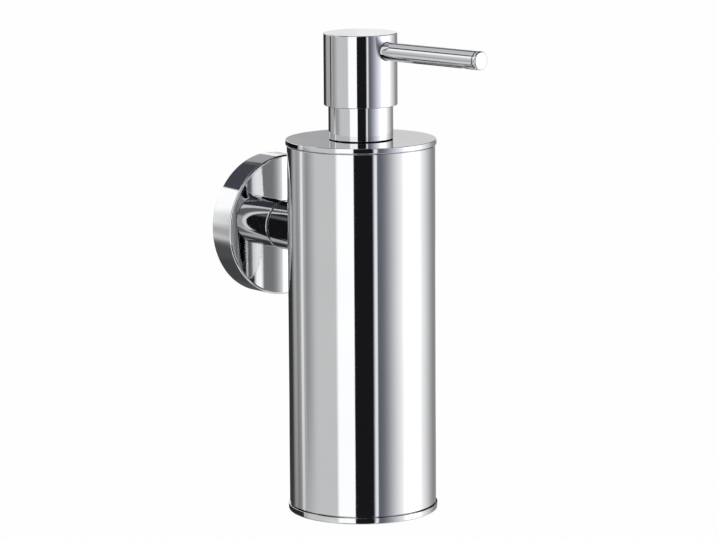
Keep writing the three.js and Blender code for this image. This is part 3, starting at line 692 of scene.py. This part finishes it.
def with_flat(grid):
    """y is at most the flat's distance, which is one wall less on the inner side."""
    radius = np.hypot(grid[..., 0], grid[..., 1])
    inner = radius < LINER_RADIUS - LINER_WALL / 2
    flat = np.where(inner, FLAT_OUTSIDE - LINER_WALL, FLAT_OUTSIDE)
    flat = np.where(grid[..., 2] > np.where(inner, SHELF, RIM_FOOT) + 0.005, TUBE_RADIUS, flat)
    return np.stack([grid[..., 0], np.minimum(grid[..., 1], flat), grid[..., 2]], axis=-1)


liner = turned("liner_beaker", [
    (0, 4.5), (LINER_RADIUS, 4.5, 1.0), (LINER_RADIUS, RIM_FOOT), (23.4, RIM_FOOT + 0.01),
    (23.4, 118.5, 0.4), (21.6, 118.5, 0.4), (21.6, SHELF + 0.01), (21.6, SHELF),
    (21.6, 6.0, 1.0), (0, 6.0),
], bend=with_flat)
dress(liner, milky_plastic, "soap_liner", "liner")

# %% [markdown]
# ## The lid unit
#
# The lid is a disc with a plug below it that carries a rubber ring in a groove. A collar
# stands on it, and a brass nut under the lid clamps the two together. The ring is a
# circle carried round a circle; the nut is a hexagon whose corners are cut back by a
# cone, as every nut's are, so that its height depends on how far out a point lies. The
# lid's side leans too: it is narrower at its top by 0.13 millimetres, so that it mirrors
# what lies a little higher.

# %% Lid, seal, collar, nut and washer
LID_FOOT, LID_TOP = 125.5, 127.3
COLLAR_RADIUS = 10.9
# Inside this radius the dull finish carries painted shade, the shadow of the joint.
UNDER_COLLAR = COLLAR_RADIUS - 0.2  # the dull finish ends here

lid = turned("lid_disc", [
    (8.9, LID_FOOT), (21.4, LID_FOOT), (21.4, 119.5, 0.3), (23.4, 119.5, 0.3), (23.4, 121.75),
    (22.4, 121.75), (22.4, 123.25), (23.4, 123.25), (23.4, LID_FOOT), (25.5, LID_FOOT, EDGE),
    (25.37, LID_TOP, 0.2), (UNDER_COLLAR, LID_TOP), (8.9, LID_TOP, 0.1),
])
dress(lid, chrome, "lid_unit", "lid")
# The lid's face under the collar gets the painted shade of the joint.
paint_joint_shade_within(lid, UNDER_COLLAR, painted_shade_chrome)

around = np.linspace(0, 2 * math.pi, 24, endpoint=False)
seal = shell("seal_ring", 23.15 + 0.6 * np.cos(around), 122.5 + 0.6 * np.sin(around), "upright")
dress(seal, rubber, "lid_unit", "lid_seal")

collar = turned("collar_sleeve", [
    (6.4, 119.6, 0.1), (8.6, 119.6, EDGE), (8.6, 127.6), (COLLAR_RADIUS, 127.6, 0.1),
    (COLLAR_RADIUS, 141.0, EDGE),
    (8.6, 141.0, 0.1), (8.6, 131.9), (6.4, 131.9),
])
dress(collar, chrome, "lid_unit", "collar")
# So does the collar's foot, whose underside lines the same joint.
paint_joint_shade_within(collar, UNDER_COLLAR, painted_shade_chrome)

NUT_FLAT, NUT_BORE, NUT_FOOT, NUT_TOP = 12.0, 8.8, 121.2, 124.2
NUT_ROUND, NUT_SLOPE = 12.1, math.tan(math.radians(30))
corner = NUT_FLAT / np.cos(from_flat(SIDES))
drop = np.maximum(corner - NUT_ROUND, 0) * NUT_SLOPE
whole = np.ones_like(corner)
nut = shell("hexagon_nut",
            np.concatenate([NUT_BORE * whole, np.minimum(NUT_ROUND, corner), corner, corner,
                            np.minimum(NUT_ROUND, corner), NUT_BORE * whole]),
            np.concatenate([NUT_FOOT * whole, NUT_FOOT * whole, NUT_FOOT + drop, NUT_TOP - drop,
                            NUT_TOP * whole, NUT_TOP * whole]), "upright")
dress(nut, brass, "lid_unit", "collar_nut")

washer = turned("flat_washer", [
    (NUT_BORE, 124.5, 0.1), (11.4, 124.5, 0.2), (11.4, 125.2, 0.2), (NUT_BORE, 125.2, 0.1),
])
dress(washer, rubber, "lid_unit", "nut_washer")

# %% [markdown]
# ## The pump below the lid
#
# When the lid unit is lifted out, the pump's barrel and its dip tube come with it. The
# barrel steps down to the tube's socket. The tube is cut on the slant, so that it can't
# seal itself against the liner's floor: its lowest row of points is a tilted plane, whose
# height grows with y as fast as y itself.
#
# Inside the barrel a wire spring pushes the pump back up. It is a circle carried along a
# helix. Its first and last turns lie closed against their neighbours, as a spring's do
# that has to stand flat.

# %% Barrel and dip tube
barrel = turned("pump_body", [
    (3.5, 83.78, 0.15), (4.6, 83.78, 0.3), (4.6, 94.6, 0.8), (6.1, 96.1, 0.8), (6.1, 133.3),
    (8.3, 133.3, 0.15), (8.3, 134.8, 0.15), (5.0, 134.8, 0.3), (5.0, 97.1), (2.9, 97.1),
    (2.9, 92.98), (1.4, 91.48), (1.4, 90.28), (3.5, 90.28),
])
dress(barrel, white_plastic, "lid_unit", "pump_barrel")


DIP_BORE, DIP_RADIUS, DIP_TOP = 2.2, 3.2, 89.98
DIP_FOOT, SLANT_MIDDLE = 8.0, 11.2  # the foot before it is slanted, and its middle after


def slanted(grid):
    """The foot's rows lie on the plane z = SLANT_MIDDLE + y; the rest stays."""
    foot = grid[..., 2] < SLANT_MIDDLE
    tilted = np.stack([grid[..., 0], grid[..., 1], SLANT_MIDDLE + grid[..., 1]], axis=-1)
    return np.where(foot[..., None], tilted, grid)


dip = turned("dip_pipe", [
    (DIP_BORE, DIP_FOOT), (DIP_RADIUS, DIP_FOOT), (DIP_RADIUS, DIP_TOP, 0.1),
    (DIP_BORE, DIP_TOP, 0.1),
], bend=slanted)
dress(dip, milky_plastic, "lid_unit", "dip_tube")

# %% Spring
SPRING_FOOT, SPRING_LENGTH = 98.7, 23.0
SPRING_MEAN, WIRE = 4.05, 0.4  # radii of the coil's middle and of its wire
CURLS, CURL_STEPS, WIRE_SIDES = 9, 32, 12
CLOSED_TURN = 2.1 * WIRE  # how far an end turn climbs: hardly more than the wire is thick


def coiled(name):
    """The wire's middle climbs a helix: x and y are the mean radius times cosine and sine,
    and z climbs fast except in the two end turns. Round each point goes
    a circle that leans with the wire: cosine times the way out plus sine times the way
    up, which is square to the wire and to the way out."""
    curl = np.linspace(0, CURLS, CURLS * CURL_STEPS + 1)
    angle = 2 * math.pi * curl
    climb = SPRING_LENGTH - 2 * WIRE
    height = np.interp(curl, [0, 1, CURLS - 1, CURLS],
                       [0, CLOSED_TURN, climb - CLOSED_TURN, climb])
    level = np.zeros_like(curl)
    out = np.column_stack([np.cos(angle), np.sin(angle), level])
    middle = SPRING_MEAN * out + np.column_stack([level, level, SPRING_FOOT + WIRE + height])
    along = np.gradient(middle, axis=0)
    along /= np.linalg.norm(along, axis=1)[:, None]
    around = turns(WIRE_SIDES)[..., None]
    rings = middle[:, None] + WIRE * (np.cos(around) * out[:, None]
                                      + np.sin(around) * np.cross(out, along)[:, None])
    ends = np.repeat(middle[[0, -1], None], WIRE_SIDES, axis=1)
    return skin(name, np.concatenate([ends[:1], rings, ends[1:]]), "upright")


spring = coiled("wire_spring")
dress(spring, steel, "lid_unit", "pump_spring")
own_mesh(spring)

# %% [markdown]
# ## The pump head
#
# The head is a deep cap that slides down over the collar when it is pressed. The spout
# passes through a hole in its side with a hair's breadth of room, which shows as the dark
# line at its root. The spout is a plain tube drilled from below near its end, and a
# polished plug closes it. The head swivels, and in the photograph it stands six degrees
# to the right of straight ahead.

# %% Head, spout and plug
SPOUT_RADIUS, SPOUT_BORE, SPOUT_HOLE, OUTLET_RADIUS = 3.1, 2.1, 3.3, 1.4
SPOUT_ROOT, SPOUT_END, OUTLET = 6.3, 52.6, 47.6  # distances out from the axis
PLUG_FOOT, PLUG_TIP = 50.3, 54.4

head = turned("head_cap", [
    (11.3, 138.8, 0.12), (12.4, 138.8, EDGE), (12.4, 163.1, EDGE), (0, 163.1), (0, 161.7),
    (11.3, 161.7),
])
head = drilled(head, straight_drill(SPOUT_HOLE, 10, 14, "out along the spout"))
dress(head, chrome, "head", "pump_head")

spout = turned("spout_pipe", [
    (SPOUT_BORE, SPOUT_ROOT, 0.1), (SPOUT_RADIUS, SPOUT_ROOT, 0.15),
    (SPOUT_RADIUS, SPOUT_END, 0.12), (SPOUT_BORE, SPOUT_END),
], "out along the spout")


def under_tip(grid):
    """Stands an upright drill under the spout, near its end."""
    return grid + OUTLET * AHEAD + np.array([0, 0, SPOUT_HEIGHT])


spout = drilled(spout, straight_drill(OUTLET_RADIUS, -4, 0, bend=under_tip))
dress(spout, chrome, "head", "spout")

tip = turned("spout_end", [
    (0, PLUG_FOOT), (1.9, PLUG_FOOT, 0.2), (1.9, SPOUT_END + SEAT),
    (SPOUT_RADIUS, SPOUT_END + SEAT, 0.12), (SPOUT_RADIUS, PLUG_TIP, 0.5), (0, PLUG_TIP),
], "out along the spout")
dress(tip, chrome, "head", "spout_plug")

# %% [markdown]
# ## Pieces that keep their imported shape
#
# The two inner screws with their washers and most of the works of the pump are right as
# they are, and they hardly ever show. They only need their finishes, so they are given a
# new material and nothing else.

# %% Finishes of the carried-over pieces
KEPT = {
    zinc: ["arm_screw", "arm_screw_washer", "tube_screw", "saddle_washer"],
    steel: ["valve_ball"],
    rubber: ["barrel_gasket"],
    white_plastic: ["guide_cap", "ball_retainer", "stem", "piston_seat", "piston", "head_insert"],
}
for material, names in KEPT.items():
    for name in names:
        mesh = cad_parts[name].data
        mesh.materials.clear()
        mesh.materials.append(material)
print("carried over:", sum(len(names) for names in KEPT.values()))

# %% [markdown]
# ## Floor and lamps
#
# A pale floor lies well below, as the dispenser hangs on a wall. The camera sees it
# almost as white as the background, with a share of its true shade left so that it keeps
# a shadow. Chrome takes its floor from the cards, so mirror rays pass it by. Two large
# soft lamps light the plastics at the plain level at which a colour looks as written;
# they too are hidden from mirror rays, which would show them as bright squares.

# %% Floor and lamps
FLOOR_DROP = 0.30  # metres from the base down to the floor
FLOOR_REACH = 6.0  # metres from the floor's middle to its edges
WHITE_SHARE = 0.985  # how much plain white the camera sees instead of the floor's shade
LAMP_AIM = (0, -0.05, 0)  # near the middle of the dispenser


def pale_floor():
    material, tree, surface, place = begin("pale_painted_floor")
    wire(tree, surface, Base_Color=tones(tree, noise(tree, place, 180), "EFEFEE", "F3F3F2"))
    surface.inputs["Roughness"].default_value = 0.7
    glow = add(tree, "Emission", {"Color": (1, 1, 1, 1), "Strength": 1.0})
    seen = times(tree, add(tree, "LightPath").outputs["Is Camera Ray"], WHITE_SHARE)
    both = add(tree, "MixShader", {0: seen, 1: surface.outputs[0], 2: glow.outputs[0]})
    tree.links.new(both.outputs[0], tree.nodes["Material Output"].inputs["Surface"])
    return material


corners = FLOOR_REACH * np.array([[-1, -1], [1, -1], [1, 1], [-1, 1]])
level = np.full(len(corners), BASE_Z * MM - FLOOR_DROP)
floor_mesh = bpy.data.meshes.new("floor")
floor_mesh.from_pydata(np.column_stack([corners, level]).tolist(), [], [(0, 1, 2, 3)])
floor_mesh.materials.append(pale_floor())
floor = bpy.data.objects.new("floor", floor_mesh)
bpy.context.scene.collection.objects.link(floor)
floor.visible_glossy = False


def soft_lamp(name, place, size, watts):
    """A round lamp turned towards the dispenser. Its matrix has columns for the side, up
    and away from what it lights."""
    lamp = bpy.data.lights.new(name, "AREA")
    lamp.shape, lamp.size, lamp.energy = "DISK", size, watts
    holder = bpy.data.objects.new(name, lamp)
    bpy.context.scene.collection.objects.link(holder)
    away = np.array(place) - np.array(LAMP_AIM)
    away /= np.linalg.norm(away)
    side = np.cross((0, 0, 1), away)
    side /= np.linalg.norm(side)
    made = np.eye(4)
    made[:3, :3] = np.column_stack([side, np.cross(away, side), away])
    made[:3, 3] = place
    holder.matrix_world = made.T.tolist()
    holder.visible_glossy = False
    return holder


soft_lamp("soft key", (-1.0, -1.1, 1.2), size=1.0, watts=9)
soft_lamp("soft fill", (1.3, -0.7, 0.5), size=1.0, watts=5)
print("floor at", round(BASE_Z * MM - FLOOR_DROP, 3))
